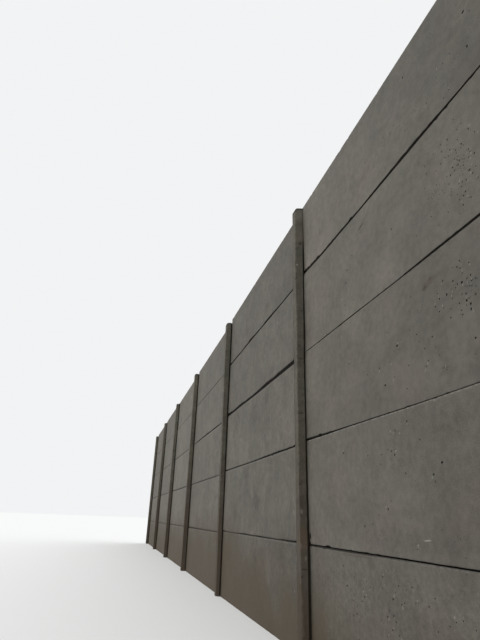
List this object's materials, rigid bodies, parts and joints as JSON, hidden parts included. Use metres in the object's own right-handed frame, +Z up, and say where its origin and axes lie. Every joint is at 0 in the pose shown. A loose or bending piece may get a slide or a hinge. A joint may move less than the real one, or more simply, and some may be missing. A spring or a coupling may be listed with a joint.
{
  "type": "precast concrete boundary wall",
  "caption": "Boundary wall of flat concrete slabs stacked on edge between slotted concrete posts, with open bed joints and grooves at both ends for further bays.",
  "frame": {"origin": "ground level, in the middle of the middle post's foot", "axes": "+X along the wall towards bay 1, -Y out of the face that the picture shows, +Z up"},
  "size_m": [12.08, 0.141, 2.4955],
  "materials": {
    "slab_concrete": "precast concrete from a smooth steel mould, matt, mid warm grey, with air holes and dirt",
    "post_concrete": "precast concrete, matt, darker and coarser than the slabs, worn along its edges"
  },
  "bodies": {
    "root": {"post_1": "post_concrete", "post_2": "post_concrete", "post_3": "post_concrete", "post_4": "post_concrete", "post_5": "post_concrete", "post_6": "post_concrete", "post_7": "post_concrete", "bay_1_slab_1": "slab_concrete", "bay_1_slab_2": "slab_concrete", "bay_1_slab_3": "slab_concrete", "bay_1_slab_4": "slab_concrete", "bay_1_slab_5": "slab_concrete", "bay_2_slab_1": "slab_concrete", "bay_2_slab_2": "slab_concrete", "bay_2_slab_3": "slab_concrete", "bay_2_slab_4": "slab_concrete", "bay_2_slab_5": "slab_concrete", "bay_3_slab_1": "slab_concrete", "bay_3_slab_2": "slab_concrete", "bay_3_slab_3": "slab_concrete", "bay_3_slab_4": "slab_concrete", "bay_3_slab_5": "slab_concrete", "bay_4_slab_1": "slab_concrete", "bay_4_slab_2": "slab_concrete", "bay_4_slab_3": "slab_concrete", "bay_4_slab_4": "slab_concrete", "bay_4_slab_5": "slab_concrete", "bay_5_slab_1": "slab_concrete", "bay_5_slab_2": "slab_concrete", "bay_5_slab_3": "slab_concrete", "bay_5_slab_4": "slab_concrete", "bay_5_slab_5": "slab_concrete", "bay_6_slab_1": "slab_concrete", "bay_6_slab_2": "slab_concrete", "bay_6_slab_3": "slab_concrete", "bay_6_slab_4": "slab_concrete", "bay_6_slab_5": "slab_concrete"}
  },
  "joints": []
}
